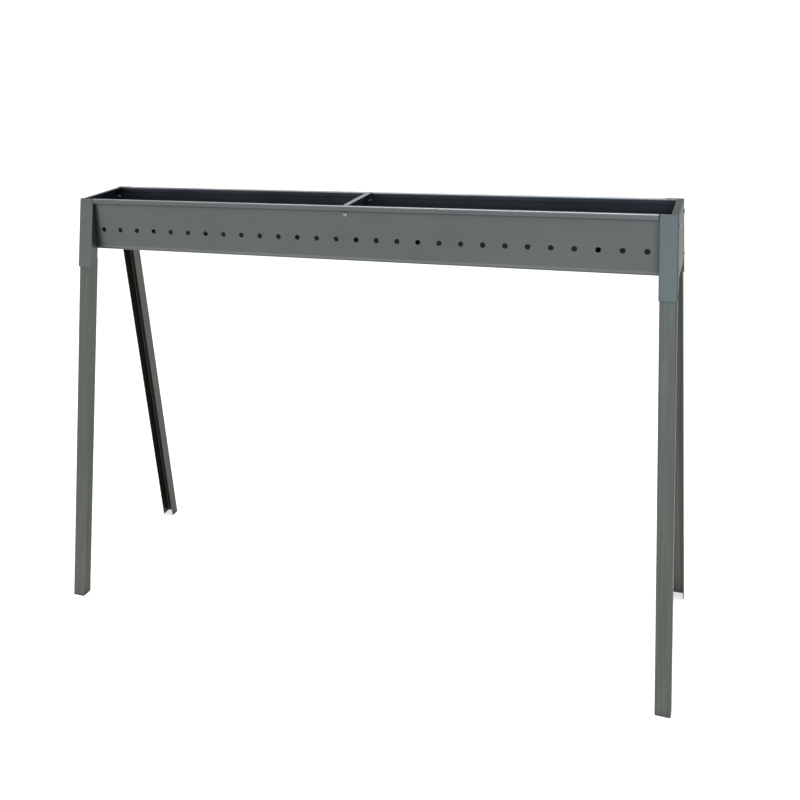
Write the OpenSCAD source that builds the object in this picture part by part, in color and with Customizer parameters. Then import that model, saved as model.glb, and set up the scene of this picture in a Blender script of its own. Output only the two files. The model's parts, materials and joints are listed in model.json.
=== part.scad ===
// Long charcoal trough grill that knocks down flat: a folded-sheet trough on four
// channel legs, which push up into tapered corner sleeves of the end panels.
// Millimetres. X runs along the trough, the front faces -Y, +Z is up.
// The origin is on the floor, midway between the four feet.

/* [Overall size] */
// Height of the rim above the floor
rim_h = 887; // [700:1:950]
// Length of the rim, between the outer faces of the end panels
rim_l = 1170; // [1150:2:1400]
// Width of the rim, across both lips
rim_w = 149; // [149:1:156]
// Outward lean of the end panels and their legs, in degrees
end_lean = 4.5; // [0:0.5:6]

/* [Trough] */
// Width across the outer faces of the long walls
trough_w = 136; // [124:1:136]
// Depth from the rim to the underside
trough_h = 105.5; // [98:0.5:112]
// Thickness of the panel sheet
sheet_t = 1; // [0.8:0.1:1]
// Height of the lip that hangs from the rim
lip_h = 9; // [7:0.5:10]
// Outward flare of the lip, in degrees
lip_flare = 4; // [1:1:6]
// Outer radius of the two bends along the rim
rim_bend_r = 3; // [2:0.1:3.5]
// Outer radius of the bend along the top of an end panel
end_bend_r = 4; // [2.5:0.5:5]
// Outer radius of the bends in the sleeves, divider and grates
bend_r = 2.5; // [2:0.1:3]
// Outer radius of the bend along the bottom of the long walls
sill_r = 6; // [4:0.5:8]
// Width of the inward flange under the floor plate
sill_w = 20; // [16:1:30]
// Width of the inward flange along the top of an end panel
end_flange_w = 12; // [9:0.5:16]

/* [Air holes] */
// Number of air holes in each long wall
hole_n = 28; // [10:2:28]
// Diameter of an air hole
hole_d = 10; // [6:1:14]
// Distance from one air hole to the next
hole_pitch = 40; // [30:1:40]
// Drop of the row below the rim
hole_drop = 64; // [40:1:66]

/* [Corner sleeves] */
// Width of a sleeve's front face
sleeve_w = 30.8; // [30.8:0.2:33]
// Drop of a sleeve's lower end below the rim
sleeve_h = 138; // [130:1:160]
// Slope of a sleeve's front face, in degrees
sleeve_tilt = 9.8; // [9.8:0.1:10.6]
// Rise of the lower edge of a sleeve's side plates towards the trough, in degrees
sleeve_rise = 12; // [8:1:15]
// Height of the step in that edge
sleeve_step = 7.5; // [5:0.5:9]

/* [Legs] */
// Width of a leg's web
leg_w = 28.2; // [26:0.2:28.2]
// Depth of a leg's flanges
leg_d = 25; // [20:0.5:25]
// Thickness of the leg sheet
leg_t = 1.2; // [1:0.1:1.5]
// Outer radius of a leg's bends
leg_r = 3; // [2:0.5:4]
// Splay of a leg towards the front or rear, in degrees
leg_tilt = 9; // [8:0.1:9]
// Drop of a leg's top end below the rim
leg_drop = 28; // [24:1:60]

/* [Divider and grates] */
// Width of the divider's top flange and end tabs
divider_w = 12; // [10:1:16]
// Drop of the grates' upper face below the rim
grate_drop = 75; // [70:1:85]
// Width of a grate
grate_w = 118; // [98:1:120]
// Width of a grate slot
slot_w = 8; // [3:0.5:9]
// Length of a grate slot
slot_l = 44; // [30:1:46]
// Distance from one slot to the next
slot_pitch = 66; // [12:1:80]

/* [Fasteners] */
// Diameter of the screw thread
screw_d = 5; // [4:0.5:5]
// Length of the screws under the head
screw_l = 10; // [9:0.5:12]
// Diameter of the pan head
head_d = 9; // [8:0.5:10]
// Height of the pan head
head_h = 2.4; // [2.2:0.2:3.4]
// Width of a nut across its flats
nut_af = 8; // [7:0.5:8]
// Height of a nut
nut_h = 4; // [3:0.5:4]
// Drop of the divider screws below the rim
divider_screw_drop = 16.5; // [15:0.5:20]
// Drop of the upper corner screws below the rim
upper_screw_drop = 19.5; // [16:0.5:24]
// Drop of the lower corner screws below the rim
lower_screw_drop = 94; // [80:1:94]

/* [Hidden] */
$fn = 48;

panel_paint = [0.40, 0.43, 0.42];
leg_paint = [0.37, 0.38, 0.35];
grate_steel = [0.30, 0.30, 0.31];
zinc = [0.72, 0.73, 0.74];

gap = 0.1;                          // between parts that lie on each other
wall_y = trough_w / 2;              // outer face of a long wall
inner_y = wall_y - sheet_t;         // inner face of a long wall
rim_y = rim_w / 2;                  // outer face of the lip
half_l = rim_l / 2;
tab_w = 14;                         // long walls' end tabs
tab_top = 6;                        // tabs stop this far below the rim
seam = 0.8;                         // open seam between lip and sleeve
sleeve_l = sleeve_h / cos(sleeve_tilt);
sleeve_clear = 0.2;                 // between sleeve edges and the long wall
leg_y = rim_y - sheet_t;            // leg's web at the rim's level
leg_clear = 0.5;                    // between trimmed leg flanges and the long wall
corner_y = inner_y - tab_w / 2 + 1; // corner screws, from the middle
floor_w = 2 * (wall_y - sill_r) - 1;
floor_z = rim_h - trough_h + 2 * sheet_t;
lean_run = tan(end_lean);           // outward run of an end panel per millimetre of drop
floor_l = 2 * (half_l + (trough_h - 2 * sheet_t) * lean_run - 2 * sheet_t - 2);
end_set = end_bend_r * (1 - sin(end_lean)) / cos(end_lean); // end bend, from the corner
lip_l = (lip_h - rim_bend_r * (1 - sin(lip_flare))) / cos(lip_flare);
step_at = 8;                        // from a sleeve's front face to the step in its lower edge
step_run = 5;                       // depth of that step
web_x = -divider_w / 2;             // divider's web, off the middle
slot_rib = 8;                       // solid strip between a grate's two rows of slots
recess_w = 1.1;                     // cross recess in a screw head
recess_d = 1.2;
grate_x = 9;                        // inner end of each grate
grate_end = half_l - end_flange_w - 3;
grate_l = grate_end - grate_x;
grate_lift = 0.2;                   // between a grate's feet and the floor plate
far = 2000;

// Section of a bent sheet, outer radius r and thickness t, from "start" up to 90 degrees
module bend(r, t, start = 0) {
    intersection() {
        difference() {
            circle(r);
            circle(r - t);
        }
        square(r);
        rotate(start) square(r);
    }
}

// A w by d rectangle whose two corners on the X axis are rounded to r
module tub(w, d, r) {
    translate([0, r]) square([w, d - r]);
    translate([r, 0]) square([w - 2 * r, 2 * r]);
    translate([r, r]) circle(r);
    translate([w - r, r]) circle(r);
}

// Section of a channel: its web lies on the X axis and its flanges point along +Y
module channel(w, d, t, r) {
    difference() {
        tub(w, d, r);
        translate([t, t]) tub(w - 2 * t, d, r - t);
    }
}

// Puts children at one of the four corners; they are modelled at the front right
module corner(left, rear) {
    mirror([left ? 1 : 0, 0, 0]) mirror([0, rear ? 1 : 0, 0]) children();
}

// The leaning frame of the right end: origin on the rim, X outwards, Z up the end panel
module lean() {
    translate([half_l, 0, rim_h]) rotate([0, -end_lean, 0]) children();
}

// Everything outside the end plane that stands off inside the rim's end by "inset"
module beyond_end(inset) {
    lean() translate([-inset, -far / 2, -far / 2]) cube([far, far, far]);
}

// Pan-head screw along +Z: the head's seat is at z = 0 and the shank points down
module pan_screw() {
    difference() {
        union() {
            translate([0, 0, -screw_l]) cylinder(d = screw_d, h = screw_l + 0.5);
            intersection() {
                cylinder(d = head_d, h = head_h);
                translate([0, 0, head_h - head_d]) sphere(head_d);
            }
        }
        for (turn = [0, 90]) {
            rotate([0, 0, turn]) translate([0, 0, head_h])
                cube([head_d * 0.5, recess_w, 2 * recess_d], center = true);
        }
    }
}

// Hexagon nut whose lower face is at z = 0
module hex_nut() {
    difference() {
        cylinder(d = nut_af / cos(30), h = nut_h, $fn = 6);
        translate([0, 0, -1]) cylinder(d = screw_d + 0.1, h = nut_h + 2);
    }
}

// Section of a long wall, drawn for the front: X is the row's Y, Y is height above the rim
module wall_section() {
    union() {
        translate([-rim_y + rim_bend_r, -rim_bend_r]) {
            rotate(-lip_flare) translate([-rim_bend_r, -lip_l]) square([sheet_t, lip_l]);
            mirror([1, 0]) bend(rim_bend_r, sheet_t, lip_flare);
        }
        translate([-rim_y + rim_bend_r, -sheet_t])
            square([rim_y - inner_y - 2 * rim_bend_r, sheet_t]);
        translate([-inner_y - rim_bend_r, -rim_bend_r]) bend(rim_bend_r, sheet_t);
        translate([-wall_y, -trough_h + sill_r])
            square([sheet_t, trough_h - sill_r - rim_bend_r]);
        translate([-wall_y + sill_r, -trough_h + sill_r])
            rotate(180) bend(sill_r, sheet_t);
        translate([-wall_y + sill_r, -trough_h]) square([sill_w - sill_r, sheet_t]);
    }
}

// Holes for the corner screws through whatever lies along the right end plane, front side
module corner_holes() {
    for (drop = [upper_screw_drop, lower_screw_drop]) {
        lean() translate([-10, -corner_y, -drop]) rotate([0, 90, 0])
            cylinder(d = screw_d + 0.5, h = 20);
    }
}

// End tab of the front wall, against the right end panel
module end_tab() {
    lean() translate([-2 * sheet_t - gap, -inner_y - 0.5, -trough_h + sill_r])
        cube([sheet_t, tab_w + 0.5, trough_h - tab_top - sill_r]);
}

module long_wall() {
    color(panel_paint) difference() {
        union() {
            difference() {
                translate([0, 0, rim_h]) rotate([90, 0, 90])
                    linear_extrude(rim_l + 60, center = true) wall_section();
                for (left = [false, true]) {
                    corner(left, false) beyond_end(sheet_t + gap);
                    corner(left, false) intersection() {
                        beyond_end(sleeve_w + seam);
                        translate([0, -wall_y - far, rim_h - lip_h - 5])
                            cube([far, far, far]);
                    }
                }
            }
            for (left = [false, true]) corner(left, false) end_tab();
        }
        for (i = [0 : hole_n - 1]) {
            translate([(i - (hole_n - 1) / 2) * hole_pitch, -wall_y, rim_h - hole_drop])
                rotate([90, 0, 0]) cylinder(d = hole_d, h = 10, center = true);
        }
        translate([0, -wall_y, rim_h - divider_screw_drop])
            rotate([90, 0, 0]) cylinder(d = screw_d + 0.5, h = 10, center = true);
        for (left = [false, true]) corner(left, false) corner_holes();
    }
}

module front_panel() {
    long_wall();
}

module rear_panel() {
    mirror([0, 1, 0]) long_wall();
}

// What is cut away below a sleeve: X is the depth from its front face, Y is height
module below_sleeve() {
    polygon([
        [-far, 0], [step_at, 0], [step_at + step_run, sleeve_step],
        [far, sleeve_step], [far, -far], [-far, -far]
    ]);
}

// One corner sleeve, in the leaning frame, front side
module sleeve() {
    foot_y = -rim_y - sleeve_h * tan(sleeve_tilt);
    back_y = -wall_y - sleeve_clear;
    difference() {
        translate([-sleeve_w, -rim_y, 0]) rotate([-sleeve_tilt, 0, 0])
            translate([0, 0, -sleeve_l]) linear_extrude(sleeve_l + 8)
                channel(sleeve_w, 60, sheet_t, bend_r);
        translate([-far / 2, back_y, -far / 2]) cube([far, far, far]);
        translate([-far / 2, back_y, -trough_h]) rotate([-sleeve_tilt, 0, 0])
            translate([0, 0, -far / 2]) cube([far, far, far]);
        translate([0, foot_y, -sleeve_h]) rotate([sleeve_rise, 0, 0])
            rotate([90, 0, 90]) linear_extrude(far, center = true) below_sleeve();
    }
}

// Level cap on top of a sleeve
module sleeve_cap() {
    translate([half_l - sleeve_w + 0.6, -rim_y + 0.8, rim_h - sheet_t - 0.3])
        cube([sleeve_w - 1.2, rim_y - wall_y - sleeve_clear - 0.8, sheet_t]);
}

module end_panel() {
    plate_y = inner_y - 0.4;
    color(panel_paint) difference() {
        union() {
            lean() translate([-sheet_t, -plate_y, -trough_h])
                cube([sheet_t, 2 * plate_y, trough_h - end_set]);
            translate([half_l, 0, rim_h]) rotate([90, 0, 0])
                linear_extrude(2 * plate_y, center = true) {
                    translate([-end_flange_w, -sheet_t])
                        square([end_flange_w - end_set, sheet_t]);
                    translate([-end_set, -end_bend_r]) bend(end_bend_r, sheet_t, end_lean);
                }
            for (rear = [false, true]) corner(false, rear) {
                lean() translate([-sheet_t, -wall_y - 2, -trough_h])
                    cube([sheet_t, 4, trough_h + 3]);
                lean() sleeve();
                sleeve_cap();
            }
        }
        translate([0, -far / 2, rim_h]) cube([far, far, far]);
        for (rear = [false, true]) corner(false, rear) corner_holes();
    }
}

module end_panel_left() {
    mirror([1, 0, 0]) end_panel();
}

module end_panel_right() {
    end_panel();
}

module floor_plate() {
    color(panel_paint) translate([0, 0, floor_z - sheet_t / 2])
        cube([floor_l, floor_w, sheet_t], center = true);
}

module divider() {
    web_h = trough_h - 2 * sheet_t - 1;
    end_y = inner_y - gap;
    color(panel_paint) difference() {
        union() {
            translate([web_x, end_y, rim_h]) rotate([90, 0, 0])
                linear_extrude(2 * end_y) {
                    translate([bend_r, -sheet_t]) square([divider_w - bend_r, sheet_t]);
                    translate([bend_r, -bend_r]) rotate(90) bend(bend_r, sheet_t);
                    translate([0, -web_h]) square([sheet_t, web_h - bend_r]);
                }
            for (side = [-1, 1]) {
                translate([web_x, side * (end_y - sheet_t / 2) - sheet_t / 2, rim_h - web_h])
                    cube([divider_w, sheet_t, web_h - 4]);
            }
        }
        for (side = [-1, 1]) {
            translate([0, side * end_y, rim_h - divider_screw_drop])
                rotate([90, 0, 0]) cylinder(d = screw_d + 0.5, h = 10, center = true);
        }
    }
}

// A grate is a channel turned web up, with two rows of slots along it
module grate() {
    grate_d = rim_h - grate_drop - floor_z - grate_lift;
    slot_n = floor((grate_l - 20) / slot_pitch);
    color(grate_steel) difference() {
        translate([grate_x, grate_w / 2, rim_h - grate_drop]) rotate([0, 0, -90])
            rotate([-90, 0, 0]) linear_extrude(grate_l)
                channel(grate_w, grate_d, sheet_t, bend_r);
        for (i = [0 : slot_n - 1], side = [-1, 1]) {
            translate([
                grate_x + grate_l / 2 + (i - (slot_n - 1) / 2) * slot_pitch,
                side * (slot_l + slot_rib) / 2,
                rim_h - grate_drop - 5
            ]) linear_extrude(10) {
                square([slot_w, slot_l - slot_w], center = true);
                for (end = [-1, 1]) {
                    translate([0, end * (slot_l - slot_w) / 2]) circle(d = slot_w);
                }
            }
        }
    }
}

module grate_left() {
    mirror([1, 0, 0]) grate();
}

module grate_right() {
    grate();
}

// The flanges are trimmed to the long wall, so a leg wedges home in its sleeve
module leg() {
    reach = (rim_h + 40) / cos(leg_tilt) / cos(end_lean);
    color(leg_paint) difference() {
        lean() translate([-(sleeve_w + leg_w) / 2, -leg_y, 0]) rotate([-leg_tilt, 0, 0])
            translate([0, 0, -reach]) linear_extrude(reach - leg_drop)
                channel(leg_w, leg_d, leg_t, leg_r);
        translate([0, -wall_y - leg_clear, 0]) cube([far, far, far]);
        translate([0, -far, -far]) cube([far, far, far]);
    }
}

module leg_front_left() {
    corner(true, false) leg();
}

module leg_front_right() {
    corner(false, false) leg();
}

module leg_rear_left() {
    corner(true, true) leg();
}

module leg_rear_right() {
    corner(false, true) leg();
}

module divider_screw() {
    color(zinc) translate([0, -wall_y, rim_h - divider_screw_drop])
        rotate([90, 0, 0]) pan_screw();
}

module divider_nut() {
    color(zinc) translate([0, -inner_y + gap + sheet_t, rim_h - divider_screw_drop])
        rotate([-90, 0, 0]) hex_nut();
}

module divider_screw_front() {
    divider_screw();
}

module divider_screw_rear() {
    mirror([0, 1, 0]) divider_screw();
}

module divider_nut_front() {
    divider_nut();
}

module divider_nut_rear() {
    mirror([0, 1, 0]) divider_nut();
}

module corner_screws() {
    color(zinc) for (drop = [upper_screw_drop, lower_screw_drop]) {
        lean() translate([0, -corner_y, -drop]) rotate([0, 90, 0]) pan_screw();
    }
}

module corner_nuts() {
    color(zinc) for (drop = [upper_screw_drop, lower_screw_drop]) {
        lean() translate([-2 * sheet_t - gap, -corner_y, -drop])
            rotate([0, -90, 0]) hex_nut();
    }
}

module corner_screws_front_left() {
    corner(true, false) corner_screws();
}

module corner_screws_front_right() {
    corner(false, false) corner_screws();
}

module corner_screws_rear_left() {
    corner(true, true) corner_screws();
}

module corner_screws_rear_right() {
    corner(false, true) corner_screws();
}

module corner_nuts_front_left() {
    corner(true, false) corner_nuts();
}

module corner_nuts_front_right() {
    corner(false, false) corner_nuts();
}

module corner_nuts_rear_left() {
    corner(true, true) corner_nuts();
}

module corner_nuts_rear_right() {
    corner(false, true) corner_nuts();
}

front_panel();
rear_panel();
end_panel_left();
end_panel_right();
floor_plate();
divider();
grate_left();
grate_right();
leg_front_left();
leg_front_right();
leg_rear_left();
leg_rear_right();
divider_screw_front();
divider_screw_rear();
divider_nut_front();
divider_nut_rear();
corner_screws_front_left();
corner_screws_front_right();
corner_screws_rear_left();
corner_screws_rear_right();
corner_nuts_front_left();
corner_nuts_front_right();
corner_nuts_rear_left();
corner_nuts_rear_right();
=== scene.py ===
"""Looks of the charcoal trough grill: materials, detailed fasteners, a pale floor,
soft studio light and the camera. Everything is in metres, in the CAD model's frame:
X along the trough, the front faces -Y, Z up, and the floor is at z = 0."""

import json
import math

import bmesh
import bpy
from mathutils import Matrix, Vector


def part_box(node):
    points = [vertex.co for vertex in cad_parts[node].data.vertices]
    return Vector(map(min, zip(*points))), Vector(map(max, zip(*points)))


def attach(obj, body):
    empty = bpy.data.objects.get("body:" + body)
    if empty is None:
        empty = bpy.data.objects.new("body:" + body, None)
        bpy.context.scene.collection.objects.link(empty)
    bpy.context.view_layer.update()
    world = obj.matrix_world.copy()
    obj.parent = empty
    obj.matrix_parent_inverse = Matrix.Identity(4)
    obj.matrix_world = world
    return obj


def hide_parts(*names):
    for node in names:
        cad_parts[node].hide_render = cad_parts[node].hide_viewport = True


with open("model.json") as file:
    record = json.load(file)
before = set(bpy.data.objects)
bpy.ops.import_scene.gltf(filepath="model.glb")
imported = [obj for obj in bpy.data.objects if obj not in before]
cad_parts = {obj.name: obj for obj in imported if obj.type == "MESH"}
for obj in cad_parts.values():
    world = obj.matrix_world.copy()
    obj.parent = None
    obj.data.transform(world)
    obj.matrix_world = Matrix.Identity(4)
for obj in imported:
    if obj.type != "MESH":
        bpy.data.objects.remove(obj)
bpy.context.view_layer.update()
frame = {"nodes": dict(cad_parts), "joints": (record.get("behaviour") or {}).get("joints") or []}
nodes = frame["nodes"]
leg_joints = [joint for joint in frame["joints"] if joint["child"].startswith("leg")]

# ---- camera: where it stands, how far it turns left and tips down, and its roll ----
CAMERA_AT = (0.655, -1.741, 1.221)
CAMERA_TURN = math.radians(23.32)
CAMERA_DOWN = math.radians(21.85)
CAMERA_ROLL = math.radians(2.97)
CAMERA_LENS = 43.47
CAMERA_SHIFT = 0.0975

# ---- floor and light ----
FLOOR_SIZE = 60.0
FLOOR_COLOR = (0.42, 0.413, 0.405)
FLOOR_GLOW = 1.58
FLOOR_ROUGHNESS = 0.9
FLOOR_CLOUD_SCALE = 3.0
FLOOR_CLOUD_SWING = 0.01
SKY_COLOR = (0.93, 0.965, 1.0)
SKY_STRENGTH = 1.6
# Height of the direction and the sky's brightness there, from the horizon to the zenith
SKY_LEVELS = ((0.10, 1.0), (0.35, 0.22), (0.80, 0.25), (1.0, 0.6))
# How much brighter the sky is at the far left than in the middle, and dimmer at the right
SKY_TILT = 0.28
SUN_POWER = 2.5
SUN_SPREAD = math.radians(60)
# Soft boxes: name, place, target, size, power and colour
SOFT_BOXES = (
    ("top_box", (0.0, 0.0, 3.2), (0.0, 0.0, 0.9), 1.6, 55, (0.97, 0.99, 1.0)),
    ("front_box", (0.95, -3.6, 1.35), (0.6, 0.0, 0.8), 1.2, 13, (0.55, 0.74, 1.0)),
)

# ---- paint, in linear colours ----
PANEL_COLOR = (0.103, 0.114, 0.109)
LEG_COLOR = (0.095, 0.103, 0.092)
INNER_COLOR = (0.110, 0.120, 0.138)
GRATE_COLOR = (0.018, 0.019, 0.021)
DIVIDER_COLOR = (0.19, 0.205, 0.21)
PAINT_METALLIC = 0.92
# Roughness of the finish, and how far below and above it the clouds take it
PAINT_ROUGHNESS = 0.34
GRATE_ROUGHNESS = 0.5
ROUGHNESS_BELOW = 0.03
ROUGHNESS_ABOVE = 0.04
# How strongly paint shines when seen at a grazing angle: walls and divider, the rest
WALL_GRAZING = 1.0
GRAZING = 0.45

# Streaks per metre along each axis, where a leg's own length counts as Z
PANEL_STREAKS = (4, 60, 250)
DIVIDER_STREAKS = (60, 4, 250)
GRATE_STREAKS = (6, 120, 120)
LEG_STREAKS = (260, 260, 5)
# Soft clouds, metal flake and orange-peel skin, per metre
CLOUD_SCALE = 9.0
FLAKE_SCALE = 2200.0
SKIN_SCALE = 520.0
# How far each swings the colour to either side
STREAK_SWING = 0.02
LEG_STREAK_SWING = 0.17
CLOUD_SWING = 0.05
FLAKE_SWING = 0.10
# Bumps of the skin and the flake
BUMP_STRENGTH = 0.10
SKIN_DEPTH = 0.0006
FLAKE_DEPTH = 0.0002

# Edges: how far the light sees them rounded, and the patchy painted highlight along them
EDGE_ROUND = 0.0004
EDGE_HIGHLIGHT_COLOR = (0.22, 0.235, 0.23)
EDGE_HIGHLIGHT_REACH = 0.0007
EDGE_HIGHLIGHT_SOFTNESS = 0.25
EDGE_HIGHLIGHT_SCALE = 60.0
EDGE_HIGHLIGHT_NOISE = (0.42, 0.62)
EDGE_HIGHLIGHT_PATCHES = (0.05, 0.55)
# How far from a crevice its painted shade reaches, and how much of the colour it takes away
CREVICE_SHADE_REACH = 0.014
CREVICE_SHADE = 0.65
# How far into a sheet's thickness the lighter, bluer colour of the inner faces reaches
INNER_TINT_EDGE = 0.0004

# Rims: the colour of the painted highlight on their top, which the bottom bend also takes,
# how far down from the top it reaches, the roughness there, and its patches
WALL_HIGHLIGHT_COLOR = (0.195, 0.208, 0.217)
RIM_HIGHLIGHT_REACH = 0.003
WALL_HIGHLIGHT_ROUGHNESS = 0.58
WALL_HIGHLIGHT_SCALE = (30, 200, 200)
WALL_HIGHLIGHT_NOISE = (0.35, 0.65)
WALL_HIGHLIGHT_PATCHES = (0.75, 1.0)
# The bend at the bottom of the walls: the heights that its painted highlight lies between,
# how softly that ends, how strong it is, and how much colour the painted shade below it leaves
BEND_HIGH = 0.0085
BEND_LOW = 0.0035
BEND_FADE = 0.0012
BEND_HIGHLIGHT = 0.45
BEND_SHADE = 0.66
# The painted shade on the walls just below the lip's edge: that edge's depth below the rim,
# how softly the painted shade starts there, how far down it reaches, and how much colour it
# leaves
LIP_EDGE = 0.0092
LIP_FADE = 0.0003
LIP_SHADE_REACH = 0.0042
LIP_SHADE = 0.70

# ---- zinc plating ----
ZINC_COLOR = (0.27, 0.28, 0.285)
ZINC_CLOUD_SCALE = 420.0
ZINC_CLOUDS = (0.80, 1.12)
ZINC_ROUGHNESS = (0.30, 0.46)
ZINC_SCRATCH_SCALE = (2500, 2500, 300)
ZINC_SCRATCH_NOISE = (0.35, 0.65)
ZINC_SCRATCHES = (0.92, 1.06)
ZINC_BUMP_STRENGTH = 0.2
ZINC_DEPTH = 0.00005

# ---- shader nodes ----
# The range that noise seldom leaves
NOISE_RANGE = (0.3, 0.7)
NOISE_ROUGHNESS = 0.55
RAY_SAMPLES = 6
# Sockets of the Mix node when it mixes colours
MIX_FACTOR, MIX_FIRST, MIX_SECOND, MIX_RESULT = 0, 6, 7, 2

# ---- fasteners ----
MERGE = 1e-6
CREASE = math.radians(32)
# Directions that agree to this many digits belong to one flat face
NORMAL_DIGITS = 1
# Below the first cosine two directions are square, and above the second they are one
SQUARE_COSINE = 0.1
SAME_COSINE = 0.99
THREAD_PITCH = 0.0008
THREAD_DEPTH = 0.00045
THREAD_STEPS = 6
# How much narrower the end of the thread's tip is, in thread depths
TIP_DEPTHS = 2.2
SCREW_SIDES = 32
# Pan head: its seat, its rounded shoulder and its dome's radius, in shares of its radius,
# and how much of the shoulder is taken off each corner of its side
HEAD_SEAT = 0.62
HEAD_SHOULDER = 0.12
HEAD_DOME = 2
HEAD_CORNER = 0.3
DOME_STEPS = 7
# Cross recess: its depth, and half the length and width of an arm at the top and the
# bottom, in shares of the head's radius
RECESS_DEPTH = 0.0012
RECESS_TOP = (0.56, 0.14)
RECESS_BOTTOM = (0.34, 0.09)
# The faces of a box with corners 0 to 3 round its top and 4 to 7 round its bottom
BOX_FACES = ((0, 1, 2, 3), (4, 5, 6, 7), (0, 1, 5, 4), (1, 2, 6, 5), (2, 3, 7, 6),
             (3, 0, 4, 7))
# Nut: the slope and the steps of its corners' chamfer, and its countersink in shares of
# its height
NUT_SIDES = 48
NUT_CHAMFER = math.radians(30)
NUT_CHAMFER_STEPS = 4
NUT_SINK = 0.1


# ---- shader helpers ----

def wire(tree, source, target):
    """Links an output to an input, or sets the input to a plain value."""
    if isinstance(source, bpy.types.NodeSocket):
        tree.links.new(source, target)
    else:
        target.default_value = source


def add_node(tree, kind, **values):
    """A shader node with its settings and its inputs, named with _ for a space."""
    made = tree.nodes.new(kind)
    for name, value in values.items():
        if hasattr(made, name):
            setattr(made, name, value)
        else:
            wire(tree, value, made.inputs[name.replace("_", " ")])
    return made


def new_material(name):
    """An empty node material, with its tree, shader and object-space coordinates."""
    material = bpy.data.materials.new(name)
    material.use_nodes = True
    tree = material.node_tree
    tree.nodes.clear()
    shader = tree.nodes.new("ShaderNodeBsdfPrincipled")
    output = tree.nodes.new("ShaderNodeOutputMaterial")
    wire(tree, shader.outputs["BSDF"], output.inputs["Surface"])
    place = tree.nodes.new("ShaderNodeTexCoord").outputs["Object"]
    return material, tree, shader, place


def split_place(tree, place):
    """The X, Y and Z of coordinates."""
    return add_node(tree, "ShaderNodeSeparateXYZ", Vector=place).outputs


def mapped(tree, place, scale, turn=(0, 0, 0)):
    """Coordinates turned by the angles in turn, then scaled per axis."""
    turned = add_node(tree, "ShaderNodeMapping", Vector=place, Rotation=turn)
    sized = add_node(tree, "ShaderNodeMapping", Vector=turned.outputs[0], Scale=scale)
    return sized.outputs[0]


def noise(tree, vector, scale, detail=4.0):
    """Smooth noise around 0.5."""
    made = add_node(tree, "ShaderNodeTexNoise", Vector=vector, Scale=scale,
                    Detail=detail, Roughness=NOISE_ROUGHNESS)
    return made.outputs["Fac"]


def remap(tree, value, source, target):
    """A value moved from one range to another, and kept inside it."""
    made = add_node(tree, "ShaderNodeMapRange", Value=value, From_Min=source[0],
                    From_Max=source[1], To_Min=target[0], To_Max=target[1])
    return made.outputs["Result"]


def vary(tree, value, swing):
    """A factor that noise swings to either side of 1."""
    return remap(tree, value, NOISE_RANGE, (1 - swing, 1 + swing))


def shade(tree, color, factor):
    """A colour multiplied by a factor that varies over the surface."""
    made = add_node(tree, "ShaderNodeVectorMath", operation="SCALE")
    wire(tree, color, made.inputs[0])
    wire(tree, factor, made.inputs["Scale"])
    return made.outputs[0]


def math_node(tree, operation, first, second=0.0):
    """The result of an operation on outputs or numbers."""
    made = add_node(tree, "ShaderNodeMath", operation=operation)
    wire(tree, first, made.inputs[0])
    wire(tree, second, made.inputs[1])
    return made.outputs[0]


def multiply(tree, product, *others):
    """The product of outputs or numbers."""
    for other in others:
        product = math_node(tree, "MULTIPLY", product, other)
    return product


def blend_colors(tree, factor, first, second):
    """The first colour where the factor is 0, and the second where it is 1."""
    made = add_node(tree, "ShaderNodeMix", data_type="RGBA")
    wire(tree, factor, made.inputs[MIX_FACTOR])
    wire(tree, first, made.inputs[MIX_FIRST])
    wire(tree, second, made.inputs[MIX_SECOND])
    return made.outputs[MIX_RESULT]


def crevice_shade(tree):
    """Painted shade: 1 on open faces, less in corners and under lips."""
    made = add_node(tree, "ShaderNodeAmbientOcclusion", samples=RAY_SAMPLES,
                    Distance=CREVICE_SHADE_REACH)
    return remap(tree, made.outputs["AO"], (0.0, 1.0), (1 - CREVICE_SHADE, 1.0))


def rounded_normal(tree, radius):
    """The surface's direction, with its edges rounded to a radius."""
    return add_node(tree, "ShaderNodeBevel", samples=RAY_SAMPLES, Radius=radius).outputs[0]


def edge_highlights(tree, place):
    """Painted highlight: above 0 along edges, stronger in patches, and 0 a little away from
    them.
    """
    true_normal = add_node(tree, "ShaderNodeNewGeometry").outputs["True Normal"]
    dot = add_node(tree, "ShaderNodeVectorMath", operation="DOT_PRODUCT")
    wire(tree, rounded_normal(tree, EDGE_HIGHLIGHT_REACH), dot.inputs[0])
    wire(tree, true_normal, dot.inputs[1])
    edge = remap(tree, dot.outputs["Value"], (1.0, 1.0 - EDGE_HIGHLIGHT_SOFTNESS), (0.0, 1.0))
    patches = noise(tree, place, EDGE_HIGHLIGHT_SCALE, detail=6.0)
    return multiply(tree, edge, remap(tree, patches, EDGE_HIGHLIGHT_NOISE, EDGE_HIGHLIGHT_PATCHES))


# ---- materials ----

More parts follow.
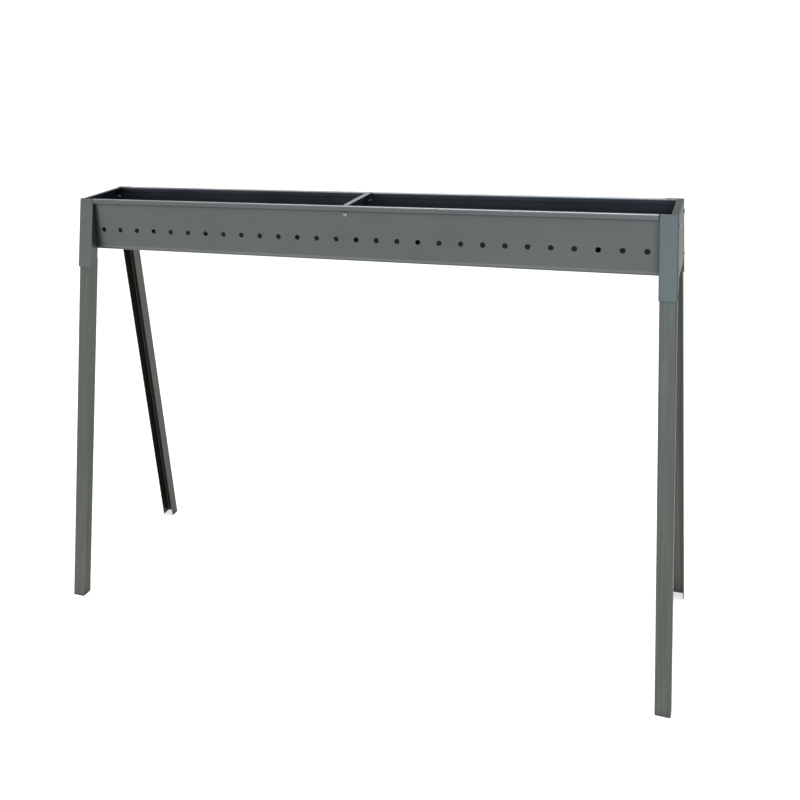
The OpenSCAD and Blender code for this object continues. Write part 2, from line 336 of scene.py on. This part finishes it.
def metal_paint(name, color, streak_scale, turn=(0, 0, 0), finish=PAINT_ROUGHNESS,
                streak_swing=STREAK_SWING, grazing=GRAZING, inner=None, painted_light_bands=None):
    """Graphite stove paint on rolled sheet: fine flake, soft clouds, faint lengthwise
    streaks, an orange-peel skin, painted highlights along edges and painted shade in
    crevices. The faces that the function inner marks get a slightly lighter, bluer colour.
    The function for a wall's painted light gives where painted highlights lighten the
    paint, and a factor for the painted shade on it."""
    material, tree, shader, place = new_material(name)
    streaks = noise(tree, mapped(tree, place, streak_scale, turn), 1.0, detail=5.0)
    clouds = noise(tree, place, CLOUD_SCALE, detail=3.0)
    flake = noise(tree, place, FLAKE_SCALE, detail=2.0)
    skin = noise(tree, place, SKIN_SCALE, detail=3.0)
    # The colour's factor: streaks, clouds, flake, and painted shade in crevices
    factor = multiply(tree, vary(tree, streaks, streak_swing),
                      vary(tree, clouds, CLOUD_SWING), vary(tree, flake, FLAKE_SWING),
                      crevice_shade(tree))
    roughness = remap(tree, clouds, NOISE_RANGE,
                      (finish - ROUGHNESS_BELOW, finish + ROUGHNESS_ABOVE))
    layers = []
    if inner:
        layers.append((inner(tree, place), INNER_COLOR))
    # Painted highlights on a wall's rim and bottom bend, and painted shade below the bend and
    # the lip
    if painted_light_bands:
        painted_highlight, painted_shade = painted_light_bands(tree, place)
        layers.append((painted_highlight, WALL_HIGHLIGHT_COLOR))
        factor = multiply(tree, factor, painted_shade)
        roughness = math_node(tree, "ADD", roughness,
                              multiply(tree, painted_highlight, WALL_HIGHLIGHT_ROUGHNESS - finish))
    coat = shade(tree, color, factor)
    for mask, layer_color in layers:
        coat = blend_colors(tree, mask, coat, shade(tree, layer_color, factor))
    # Painted highlights along the edges, in patches
    coat = blend_colors(tree, edge_highlights(tree, place), coat, (*EDGE_HIGHLIGHT_COLOR, 1.0))
    wire(tree, coat, shader.inputs["Base Color"])
    wire(tree, roughness, shader.inputs["Roughness"])
    shader.inputs["Metallic"].default_value = PAINT_METALLIC
    shader.inputs["Specular Tint"].default_value = (grazing, grazing, grazing, 1.0)
    peel = add_node(tree, "ShaderNodeBump", Strength=BUMP_STRENGTH, Distance=SKIN_DEPTH,
                    Height=skin, Normal=rounded_normal(tree, EDGE_ROUND))
    grain = add_node(tree, "ShaderNodeBump", Strength=BUMP_STRENGTH, Distance=FLAKE_DEPTH,
                     Height=flake, Normal=peel.outputs[0])
    wire(tree, grain.outputs[0], shader.inputs["Normal"])
    return material


def zinc_plate(name):
    """Bright zinc plating: cloudy passivation, fine scratches and dull patches."""
    material, tree, shader, place = new_material(name)
    clouds = noise(tree, place, ZINC_CLOUD_SCALE)
    scratches = noise(tree, mapped(tree, place, ZINC_SCRATCH_SCALE), 1.0, detail=3.0)
    factor = multiply(tree, remap(tree, clouds, NOISE_RANGE, ZINC_CLOUDS),
                      remap(tree, scratches, ZINC_SCRATCH_NOISE, ZINC_SCRATCHES))
    wire(tree, shade(tree, ZINC_COLOR, factor), shader.inputs["Base Color"])
    wire(tree, remap(tree, clouds, NOISE_RANGE, ZINC_ROUGHNESS), shader.inputs["Roughness"])
    shader.inputs["Metallic"].default_value = 1.0
    bump = add_node(tree, "ShaderNodeBump", Strength=ZINC_BUMP_STRENGTH,
                    Distance=ZINC_DEPTH, Height=scratches)
    wire(tree, bump.outputs[0], shader.inputs["Normal"])
    return material


def dress(node, material):
    """Gives a CAD node its material."""
    slots = nodes[node].material_slots
    for slot in slots:
        slot.material = material
    if not slots:
        nodes[node].data.materials.append(material)


def leg_turn(joint):
    """The turn that lays a leg's own axis along Z, for its lengthwise streaks."""
    return Vector(joint["axis"]).rotation_difference(Vector((0, 0, -1))).to_euler()


def is_fastener(name):
    """Whether a node holds screws or nuts."""
    return "screw" in name or "nut" in name


def inside_trough(tree, place):
    """1 on the faces that look into the trough, below its rim and above its floor."""
    leg_axis = leg_joints[0]["axis"]
    lean = abs(leg_axis[0] / leg_axis[2])
    wall_low, wall_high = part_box("front_panel")
    half_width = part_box("divider")[1].y + INNER_TINT_EDGE
    half_length = wall_high.x + INNER_TINT_EDGE + wall_low.z * lean
    top = wall_high.z - 2 * INNER_TINT_EDGE
    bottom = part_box("floor_plate")[1].z - INNER_TINT_EDGE
    split = split_place(tree, place)
    across = math_node(tree, "ABSOLUTE", split["Y"])
    along = math_node(tree, "ADD", math_node(tree, "ABSOLUTE", split["X"]),
                      multiply(tree, split["Z"], lean))
    return multiply(tree, math_node(tree, "LESS_THAN", across, half_width),
                    math_node(tree, "LESS_THAN", along, half_length),
                    math_node(tree, "LESS_THAN", split["Z"], top),
                    math_node(tree, "GREATER_THAN", split["Z"], bottom))


def wall_painted_light(tree, place):
    """Painted highlights of a long wall: up to 1 on the top of its rim, and fainter on its
    bottom bend. Also a factor for the painted shade on it, which is less than 1 below that
    bend and just below the lip's edge."""
    wall_low, wall_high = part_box("front_panel")
    height = split_place(tree, place)["Z"]

    def ramp(start, end, target=(0.0, 1.0)):
        return remap(tree, height, (start, end), target)

    # Painted highlights: on the rim's top, and fainter on the bottom bend
    rim = ramp(wall_high.z - RIM_HIGHLIGHT_REACH, wall_high.z - RIM_HIGHLIGHT_REACH / 2)
    bend_high = wall_low.z + BEND_HIGH
    bend_low = wall_low.z + BEND_LOW
    bend = multiply(tree, ramp(bend_high, bend_high - BEND_FADE, (0.0, BEND_HIGHLIGHT)),
                    ramp(bend_low, bend_low + BEND_FADE))
    # Painted shade: just below the lip's edge, and below the bottom bend
    lip = wall_high.z - LIP_EDGE
    under_lip = multiply(tree, ramp(lip - LIP_SHADE_REACH, lip - LIP_SHADE_REACH / 2),
                         ramp(lip, lip + LIP_FADE, (1.0, 0.0)))
    painted_shade = multiply(tree, ramp(bend_low - BEND_FADE, bend_low, (BEND_SHADE, 1.0)),
                    remap(tree, under_lip, (0.0, 1.0), (1.0, LIP_SHADE)))
    patches = remap(tree, noise(tree, mapped(tree, place, WALL_HIGHLIGHT_SCALE), 1.0), WALL_HIGHLIGHT_NOISE,
                    WALL_HIGHLIGHT_PATCHES)
    return multiply(tree, patches, math_node(tree, "MAXIMUM", rim, bend)), painted_shade


def dress_nodes():
    """Paints every CAD node but the fasteners. Each leg has a paint of its own, whose
    streaks run along it."""
    panel_paint = metal_paint("panel_paint", PANEL_COLOR, PANEL_STREAKS,
                              inner=inside_trough)
    # The long walls also get painted highlights on rim and bottom bend, and painted shade below
    # the bend and the lip
    wall_paint = metal_paint("wall_paint", PANEL_COLOR, PANEL_STREAKS,
                             grazing=WALL_GRAZING, inner=inside_trough, painted_light_bands=wall_painted_light)
    divider_paint = metal_paint("divider_paint", DIVIDER_COLOR, DIVIDER_STREAKS,
                                grazing=WALL_GRAZING)
    grate_paint = metal_paint("grate_steel", GRATE_COLOR, GRATE_STREAKS,
                              finish=GRATE_ROUGHNESS)
    for name in nodes:
        if name.startswith("grate"):
            dress(name, grate_paint)
        elif name == "divider":
            dress(name, divider_paint)
        elif name in ("front_panel", "rear_panel"):
            dress(name, wall_paint)
        elif not name.startswith("leg") and not is_fastener(name):
            dress(name, panel_paint)
    for joint in leg_joints:
        leg = joint["child"]
        dress(leg, metal_paint(leg + "_paint", LEG_COLOR, LEG_STREAKS, leg_turn(joint),
                               streak_swing=LEG_STREAK_SWING))


# ---- fasteners ----

def loose_parts(mesh):
    """The separate solids of a mesh, each as (points, list of (normal, centre, area))."""
    work = bmesh.new()
    work.from_mesh(mesh)
    bmesh.ops.remove_doubles(work, verts=work.verts, dist=MERGE)
    seen = set()
    parts = []
    for seed in work.faces:
        if seed in seen:
            continue
        seen.add(seed)
        stack = [seed]
        points = []
        faces = []
        while stack:
            face = stack.pop()
            points += [corner.co.copy() for corner in face.verts]
            faces.append((face.normal.copy(), face.calc_center_median(), face.calc_area()))
            for edge in face.edges:
                for other in edge.link_faces:
                    if other not in seen:
                        seen.add(other)
                        stack.append(other)
        parts.append((points, faces))
    work.free()
    return parts


def flat_sides(faces):
    """The directions that a solid's flat faces look in, the largest area first."""
    sums = {}
    for normal, _, area in faces:
        # Adding 0.0 turns a rounded -0.0 into 0.0
        key = tuple(round(value, NORMAL_DIGITS) + 0.0 for value in normal)
        sums[key] = sums.get(key, Vector()) + normal * area
    return [total.normalized() for total in
            sorted(sums.values(), key=lambda total: -total.length)]


def span(points, direction):
    """Lowest and highest place of some points along a direction."""
    places = [point.dot(direction) for point in points]
    return min(places), max(places)


def placed(points, axis, side, height):
    """The frame on a solid's own axis whose origin is at a height along that axis."""
    across = axis.cross(side).normalized()
    side = across.cross(axis)
    origin = axis * height
    for direction in (side, across):
        origin += direction * (sum(span(points, direction)) / 2)
    turn = Matrix((side, across, axis)).transposed().to_4x4()
    return Matrix.Translation(origin) @ turn


def to_mesh(work, name):
    """The mesh of a bmesh of closed solids, its faces looking outwards."""
    bmesh.ops.recalc_face_normals(work, faces=work.faces)
    made = bpy.data.meshes.new(name)
    work.to_mesh(made)
    work.free()
    return made


def revolved(name, rings, sides, closed=False):
    """A closed mesh from rings of (radius function of the angle, height). The ends are
    capped by a point on the axis, or joined to each other where closed is true."""
    work = bmesh.new()
    rows = []
    for radius, height in rings:
        row = []
        for index in range(sides):
            angle = math.tau * index / sides
            reach = radius(angle)
            row.append(work.verts.new((reach * math.cos(angle), reach * math.sin(angle),
                                       height)))
        rows.append(row)
    pairs = list(zip(rows, rows[1:] + rows[:1]))
    for low_row, high_row in pairs if closed else pairs[:-1]:
        for index in range(sides):
            after = (index + 1) % sides
            work.faces.new((low_row[index], low_row[after], high_row[after],
                            high_row[index]))
    if not closed:
        for row, height, flip in ((rows[0], rings[0][1], True),
                                  (rows[-1], rings[-1][1], False)):
            middle = work.verts.new((0, 0, height))
            for index in range(sides):
                corners = [row[index], row[(index + 1) % sides], middle]
                work.faces.new(corners[::-1] if flip else corners)
    return to_mesh(work, name)


def plain(radius):
    """The radius function of a round ring."""
    return lambda angle: radius


def thread_rings(radius, length):
    """Rings from the tip of a thread up to its head, on one right-hand helix."""
    rings = [(plain(radius - TIP_DEPTHS * THREAD_DEPTH), -length)]
    step = THREAD_PITCH / THREAD_STEPS
    count = int((length - THREAD_PITCH) / step)
    for index in range(1, count):
        height = -length + index * step
        rise = min(1.0, index / THREAD_STEPS, (count - index) / THREAD_STEPS)
        root = radius - THREAD_DEPTH * (1.0 if index < count / 2 else rise)
        crest = radius - root

        def reach(angle, height=height, root=root, lift=crest * rise):
            turn = math.tau * height / THREAD_PITCH - angle
            return root + lift * (0.5 + 0.5 * math.cos(turn))

        rings.append((reach, height))
    return rings


def head_rings(radius, rise):
    """Rings of a pan head: flat seat, short side, rounded shoulder and shallow dome."""
    dome = HEAD_DOME * radius
    shoulder = HEAD_SHOULDER * radius
    corner = HEAD_CORNER * shoulder
    side = rise - dome + math.sqrt(dome ** 2 - radius ** 2)
    rings = [(plain(HEAD_SEAT * radius), 0.0), (plain(radius - corner), 0.0),
             (plain(radius), corner), (plain(radius), side - shoulder),
             (plain(radius - corner), side - corner)]
    for index in range(DOME_STEPS):
        reach = (radius - shoulder) * (1 - index / DOME_STEPS)
        rings.append((plain(reach), rise - dome + math.sqrt(dome ** 2 - reach ** 2)))
    return rings


def cross_cutter(radius, top):
    """A tapered cross that stands down into a screw head."""
    cutter = bmesh.new()
    for turned in (False, True):
        corners = []
        for height, (half_long, half_wide) in ((top + RECESS_DEPTH / 2, RECESS_TOP),
                                               (top - RECESS_DEPTH, RECESS_BOTTOM)):
            for one, other in ((-1, -1), (1, -1), (1, 1), (-1, 1)):
                place = [one * half_long * radius, other * half_wide * radius]
                if turned:
                    place.reverse()
                corners.append(cutter.verts.new((*place, height)))
        for ring in BOX_FACES:
            cutter.faces.new([corners[index] for index in ring])
    return to_mesh(cutter, "cross")


def cut(mesh, cutter_mesh):
    """The mesh with the cutter's solids taken away."""
    body = bpy.data.objects.new("cut_body", mesh)
    cutter = bpy.data.objects.new("cut_tool", cutter_mesh)
    for item in (body, cutter):
        bpy.context.scene.collection.objects.link(item)
    change = body.modifiers.new("cut", "BOOLEAN")
    change.operation = "DIFFERENCE"
    change.solver = "EXACT"
    change.use_self = True
    change.object = cutter
    seen = body.evaluated_get(bpy.context.evaluated_depsgraph_get())
    made = bpy.data.meshes.new_from_object(seen)
    for item in (body, cutter):
        bpy.data.objects.remove(item)
    return made


def screw_mesh(head_radius, head_rise, thread_radius, length):
    """A pan-head screw with its seat at z = 0 and its thread below."""
    rings = thread_rings(thread_radius, length) + head_rings(head_radius, head_rise)
    body = revolved("screw", rings, SCREW_SIDES)
    return cut(body, cross_cutter(head_radius, head_rise))


def nut_mesh(half_flats, height, bore_radius):
    """A hexagon nut from z = 0 up, with chamfered corners and a countersunk bore."""
    sixth = math.tau / 6

    def hexagon(angle, limit):
        swing = (angle + sixth / 2) % sixth - sixth / 2
        return min(half_flats / math.cos(swing), limit)

    slope = math.tan(NUT_CHAMFER)
    chamfer = (half_flats / math.cos(sixth / 2) - half_flats) * slope
    rises = [chamfer * index / NUT_CHAMFER_STEPS for index in range(NUT_CHAMFER_STEPS + 1)]
    sink = NUT_SINK * height
    lower = [(lambda angle, rise=rise: hexagon(angle, half_flats + rise / slope), rise)
             for rise in rises]
    upper = [(radius, height - rise) for radius, rise in reversed(lower)]
    rings = ([(plain(bore_radius + sink), 0.0)] + lower + upper
             + [(plain(bore_radius + sink), height), (plain(bore_radius), height - sink),
                (plain(bore_radius), sink)])
    return revolved("nut", rings, NUT_SIDES, closed=True)


def add_detail(node, material):
    """Puts detailed screws or nuts where a CAD node has plain ones."""
    is_screw = "screw" in node
    joined = bmesh.new()
    for points, faces in loose_parts(nodes[node].data):
        sides = flat_sides(faces)
        axis = -sides[0] if is_screw else sides[0]
        side = next(found for found in sides[1:] + [axis.orthogonal()]
                    if abs(found.dot(axis)) < SQUARE_COSINE)
        low, high = span(points, axis)
        seat = low
        if is_screw:
            seat = max(centre.dot(axis) for normal, centre, _ in faces
                       if normal.dot(axis) < -SAME_COSINE)
        spot = placed(points, axis, side, seat)
        local = [spot.inverted() @ point for point in points]
        if is_screw:
            thread = [point for point in local if point.z < (low - seat) / 2]
            made = screw_mesh(max(point.xy.length for point in local), high - seat,
                              max(point.xy.length for point in thread), seat - low)
        else:
            made = nut_mesh(max(point.x for point in local), high - low,
                            min(point.xy.length for point in local))
        made.transform(spot)
        joined.from_mesh(made)
        bpy.data.meshes.remove(made)
    mesh = bpy.data.meshes.new(node + "_detail")
    joined.to_mesh(mesh)
    joined.free()
    mesh.shade_smooth()
    mesh.set_sharp_from_angle(angle=CREASE)
    mesh.materials.append(material)
    piece = bpy.data.objects.new(node + "_detail", mesh)
    bpy.context.scene.collection.objects.link(piece)
    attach(piece, "trough")
    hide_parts(node)


def make_fasteners():
    """Details all screws and nuts, in one zinc plating."""
    zinc = zinc_plate("zinc_plate")
    for name in sorted(nodes):
        if is_fastener(name):
            add_detail(name, zinc)


# ---- surroundings ----

def make_floor():
    """A wide pale floor, with a glow that lifts the shadows at the feet."""
    bpy.ops.mesh.primitive_plane_add(size=FLOOR_SIZE)
    floor = bpy.context.object
    floor.name = "floor"
    material, tree, shader, place = new_material("floor_white")
    clouds = vary(tree, noise(tree, place, FLOOR_CLOUD_SCALE), FLOOR_CLOUD_SWING)
    wire(tree, shade(tree, FLOOR_COLOR, clouds), shader.inputs["Base Color"])
    shader.inputs["Roughness"].default_value = FLOOR_ROUGHNESS
    shader.inputs["Emission Color"].default_value = (*FLOOR_COLOR, 1.0)
    shader.inputs["Emission Strength"].default_value = FLOOR_GLOW
    floor.data.materials.append(material)


def make_sky():
    """A pale studio surround: bright at the horizon, dim above, brighter overhead."""
    world = bpy.data.worlds.new("studio")
    world.use_nodes = True
    tree = world.node_tree
    background = tree.nodes["Background"]
    split = split_place(tree, add_node(tree, "ShaderNodeTexCoord").outputs["Generated"])
    ramp = add_node(tree, "ShaderNodeValToRGB", Fac=split["Z"])
    stops = ramp.color_ramp.elements
    while len(stops) < len(SKY_LEVELS):
        stops.new(0.5)
    for stop, (place, level) in zip(stops, SKY_LEVELS):
        stop.position = place
        stop.color = (*(level * channel for channel in SKY_COLOR), 1.0)
    strength = remap(tree, split["X"], (-1.0, 1.0), (SKY_STRENGTH * (1 + SKY_TILT),
                                                     SKY_STRENGTH * (1 - SKY_TILT)))
    wire(tree, ramp.outputs["Color"], background.inputs["Color"])
    wire(tree, strength, background.inputs["Strength"])
    bpy.context.scene.world = world


def make_light(name, at, target, size, power, color):
    """A square soft box at a point, facing a target."""
    data = bpy.data.lights.new(name, "AREA")
    data.shape = "SQUARE"
    data.size = size
    data.energy = power
    data.color = color
    lamp = bpy.data.objects.new(name, data)
    lamp.location = at
    lamp.rotation_euler = (Vector(target) - Vector(at)).to_track_quat("-Z", "Y").to_euler()
    lamp.visible_camera = False
    bpy.context.scene.collection.objects.link(lamp)


def make_sun():
    """Broad, even light from straight above."""
    data = bpy.data.lights.new("overhead", "SUN")
    data.energy = SUN_POWER
    data.angle = SUN_SPREAD
    bpy.context.scene.collection.objects.link(bpy.data.objects.new("overhead", data))


def make_camera():
    """The camera, where and how the values at the top say."""
    data = bpy.data.cameras.new("camera")
    data.lens = CAMERA_LENS
    data.shift_x = CAMERA_SHIFT
    camera = bpy.data.objects.new("camera", data)
    turn = (Matrix.Rotation(CAMERA_TURN, 4, "Z")
            @ Matrix.Rotation(math.pi / 2 - CAMERA_DOWN, 4, "X")
            @ Matrix.Rotation(-CAMERA_ROLL, 4, "Z"))
    camera.matrix_world = Matrix.Translation(CAMERA_AT) @ turn
    bpy.context.scene.collection.objects.link(camera)
    bpy.context.scene.camera = camera


dress_nodes()
make_fasteners()
make_floor()
make_sky()
make_sun()
for soft_box in SOFT_BOXES:
    make_light(*soft_box)
make_camera()
bpy.context.scene.view_settings.view_transform = "Standard"
